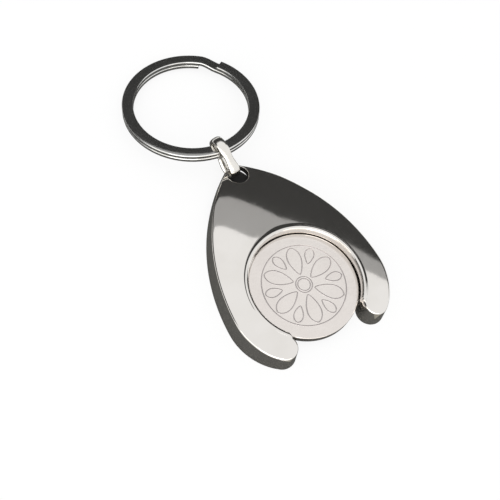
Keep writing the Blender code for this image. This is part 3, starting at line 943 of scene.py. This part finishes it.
def glow_shade(name, colour, strength):
    """A card that glows evenly and reflects nothing of its own colour."""
    material, shader = new_material(name)
    shader.inputs["Base Color"].default_value = (0.0, 0.0, 0.0, 1.0)
    shader.inputs["Emission Color"].default_value = (*colour, 1.0)
    shader.inputs["Emission Strength"].default_value = strength
    return material


def pale_table():
    """A white table top; camera, glossy and transmission rays see it nearly as white as the backdrop."""
    material, shader = new_material("white_table")
    tree = material.node_tree
    nodes, links = tree.nodes, tree.links
    shader.inputs["Base Color"].default_value = (0.95, 0.95, 0.95, 1.0)
    shader.inputs["Roughness"].default_value = MATT
    glow = nodes.new("ShaderNodeEmission")
    glow.inputs["Color"].default_value = WHITE
    path = nodes.new("ShaderNodeLightPath")
    clear = maths(tree, "MAXIMUM", path.outputs["Is Glossy Ray"], path.outputs["Is Transmission Ray"])
    seen = maths(tree, "MAXIMUM", path.outputs["Is Camera Ray"], clear)
    mix = nodes.new("ShaderNodeMixShader")
    links.new(maths(tree, "MULTIPLY", seen, TABLE_GLOW_SHARE), mix.inputs["Fac"])
    links.new(shader.outputs["BSDF"], mix.inputs[1])
    links.new(glow.outputs["Emission"], mix.inputs[2])
    links.new(mix.outputs["Shader"], nodes["Material Output"].inputs["Surface"])
    return material


def sheet(name, corners, material):
    """A flat sheet of the stage, with its corners in order."""
    mesh = bpy.data.meshes.new(name)
    mesh.from_pydata([Vector(corner) for corner in corners], [], [tuple(range(len(corners)))])
    mesh.materials.append(material)
    piece = loose_object(name, mesh)
    return piece


def only_in_reflections(piece):
    """Leaves a piece visible in the metal alone; it neither lights nor shades anything else."""
    piece.visible_camera = False
    piece.visible_diffuse = False
    piece.visible_shadow = False
    piece.visible_transmission = False
    return piece


def curved_card(name, radius, bottoms, tops, material, steps=120):
    """An upright card bent round the keyring, seen only in the metal.

    Its lower and upper edges are cut straight from corner to corner.
    """
    first = radians(max(bottoms[0][0], tops[0][0]))
    last = radians(min(bottoms[-1][0], tops[-1][0]))
    form = bmesh.new()
    rows = []
    for step in range(steps + 1):
        turn = first + (last - first) * step / steps
        x, y = radius * sin(turn), radius * cos(turn)
        rows.append([form.verts.new((x, y, edge_at(corners, turn))) for corners in (bottoms, tops)])
    for near, far in zip(rows, rows[1:]):
        form.faces.new((near[0], far[0], far[1], near[1]))
    mesh = bpy.data.meshes.new(name)
    form.to_mesh(mesh)
    form.free()
    mesh.materials.append(material)
    piece = loose_object(name, mesh)
    return only_in_reflections(piece)


def edge_at(corners, turn):
    """Height of a card's cut edge at an angle."""
    for (first, low), (last, high) in zip(corners, corners[1:]):
        if turn <= radians(last):
            return low + (high - low) * (turn - radians(first)) / (radians(last) - radians(first))
    return corners[-1][1]


def disc(name, radius, height, centre, material, steps=64):
    """A flat round sheet."""
    corners = []
    for step in range(steps):
        turn = 2 * pi * step / steps
        corners.append((centre[0] + radius * cos(turn), centre[1] + radius * sin(turn), height))
    return sheet(name, corners, material)


def shade_outline(margin, height):
    """The holder's outline on the table, with a margin all round."""
    corners = []
    for step in range(SHADE_STEPS):
        angle = 2 * pi * step / SHADE_STEPS
        side = right_side(angle)
        reach = rib_span(side)[1] if side > -LEG_TIP_ANGLE - TIP_HALF_ANGLE else TIP_DISTANCE
        reach += margin
        corners.append(TOKEN_CENTRE + Vector((reach * cos(angle), reach * sin(angle), height)))
    return corners


def make_stage():
    """Table, sheets of painted shade and cards, and the white tent round all of them."""
    half = TABLE_HALF_SIDE
    corners = [(-half, -half, 0), (half, -half, 0), (half, half, 0), (-half, half, 0)]
    table = sheet("table", corners, pale_table())
    table.location.z = TABLE_HEIGHT
    charcoal = plain_shade("charcoal_card", (0.035, 0.035, 0.034))
    grey = plain_shade("grey_card", (0.42, 0.42, 0.42))
    # Colours of painted shade for the table: dark close to the holder and under the ring, paler further out
    dark_shade = plain_shade("dark_painted_shade", (0.10, 0.10, 0.095))
    pale_shade = plain_shade("pale_painted_shade", (0.30, 0.29, 0.25))
    # Colour of the painted shadow under the eye
    painted_eye_shadow = plain_shade("painted_eye_shadow", (0.03, 0.03, 0.03))
    glow = glow_shade("cream_glow", (1.0, 0.97, 0.90), GLOW_STRENGTH)
    # Painted shade seen only in the metal: a dark sheet just round the holder's outline and a paler one
    # further out stand in for the table's shadow, which fades away from the walls
    only_in_reflections(sheet("painted_shade_under_holder", shade_outline(SHADE_MARGIN, SHADE_HEIGHT), dark_shade))
    only_in_reflections(sheet("painted_pale_shade_round_holder", shade_outline(PALE_SHADE_MARGIN, PALE_SHADE_HEIGHT), pale_shade))
    # Painted shade seen only in the metal: a dark disc under the ring stands in for the table's shadow, which
    # the ring's outer wall reflects
    ring_middle = TOKEN_CENTRE + RING_AXIS + Vector((0.0, RING_DIAMETER / 2, 0.0))
    ring_shade_radius = RING_DIAMETER / 2 + RING_SHADE_MARGIN
    only_in_reflections(disc("painted_shade_under_ring", ring_shade_radius, RING_SHADE_HEIGHT, ring_middle, dark_shade))
    # Painted shadow: a near-black disc on the table under the eye, where the swept-up plate shades it; the
    # camera sees it through the hole
    eye_middle = TOKEN_CENTRE + Vector((0.0, EYE_DISTANCE, 0.0))
    disc("painted_shadow_under_eye", EYE_OUTER_RADIUS, EYE_SHADOW_HEIGHT, eye_middle, painted_eye_shadow)
    curved_card("charcoal_card", CARD_RADIUS, TABLE_EDGE, DARK_EDGE, charcoal)
    curved_card("front_glow_card", CARD_RADIUS, GLOW_BOTTOM_EDGE, GLOW_TOP_EDGE, glow)
    curved_card("grey_card", CARD_RADIUS, DARK_EDGE, GREY_EDGE, grey)

    world = bpy.data.worlds.new("white_tent")
    world.use_nodes = True
    bpy.context.scene.world = world
    background = world.node_tree.nodes["Background"]
    background.inputs["Color"].default_value = WHITE
    background.inputs["Strength"].default_value = 1.0


def soft_lamp(name, place, size, watts):
    """A square soft lamp that faces the keyring."""
    data = bpy.data.lights.new(name, "AREA")
    data.shape = "SQUARE"
    data.size = size
    data.energy = watts
    lamp = bpy.data.objects.new(name, data)
    lamp.location = place
    lamp.rotation_euler = (-Vector(place)).to_track_quat("-Z", "Y").to_euler()
    bpy.context.scene.collection.objects.link(lamp)


def make_camera():
    """Looks at the token's centre on the table, shifted so that it falls on its place in the picture."""
    back = Vector((sin(CAMERA_AZIMUTH) * cos(CAMERA_ELEVATION),
                   -cos(CAMERA_AZIMUTH) * cos(CAMERA_ELEVATION), sin(CAMERA_ELEVATION)))
    level = Vector((cos(CAMERA_AZIMUTH), sin(CAMERA_AZIMUTH), 0.0))
    upright = back.cross(level)
    right = cos(CAMERA_ROLL) * level + sin(CAMERA_ROLL) * upright
    up = cos(CAMERA_ROLL) * upright - sin(CAMERA_ROLL) * level
    middle = PICTURE_SIDE / 2
    data = bpy.data.cameras.new("camera")
    data.sensor_width = SENSOR_WIDTH
    data.sensor_fit = "HORIZONTAL"
    data.lens = PIXELS_PER_METRE * CAMERA_DISTANCE / PICTURE_SIDE * SENSOR_WIDTH
    data.clip_start = CLIP_START
    camera = bpy.data.objects.new("camera", data)
    place = TOKEN_CENTRE + back * CAMERA_DISTANCE
    place -= right * (TOKEN_IN_PICTURE[0] - middle) / PIXELS_PER_METRE
    place += up * (TOKEN_IN_PICTURE[1] - middle) / PIXELS_PER_METRE
    turn = Matrix((right, up, back)).transposed().to_4x4()
    camera.matrix_world = Matrix.Translation(place) @ turn
    bpy.context.scene.collection.objects.link(camera)
    bpy.context.scene.camera = camera


def main():
    bpy.context.scene.view_settings.view_transform = "Standard"
    make_camera()
    make_holder(nickel_plate("polished_casting_nickel", (0.80, 0.775, 0.745), (0.76, 0.735, 0.70),
                             roughness=0.05, ripple=0.0000012, ripple_size=0.0016))
    make_magnet(nickel_plate("magnet_nickel", (0.50, 0.50, 0.51), (0.42, 0.42, 0.43),
                             roughness=0.32, ripple=0.0000006, ripple_size=0.0004))
    make_token(nickel_plate("struck_token_nickel", (0.80, 0.755, 0.72), (0.76, 0.71, 0.675),
                            roughness=0.16, ripple=0.0000008, ripple_size=0.0009, streaks=(1.0, 6.0, 1.0)))
    make_rosette(nickel_plate("token_line_nickel", (0.60, 0.55, 0.54), (0.52, 0.48, 0.47),
                              roughness=0.22, ripple=0.0000005, ripple_size=0.0009))
    make_link(nickel_plate("bent_wire_nickel", (0.82, 0.80, 0.76), (0.74, 0.71, 0.66),
                           roughness=0.15, ripple=0.000004, ripple_size=0.0006))
    make_ring(nickel_plate("wound_strip_nickel", (0.78, 0.775, 0.76), (0.70, 0.70, 0.685),
                           roughness=0.08, ripple=0.0000008, ripple_size=0.0012))
    make_stage()
    soft_lamp("front_lamp", LAMP_PLACE, LAMP_SIZE, LAMP_WATTS)


main()
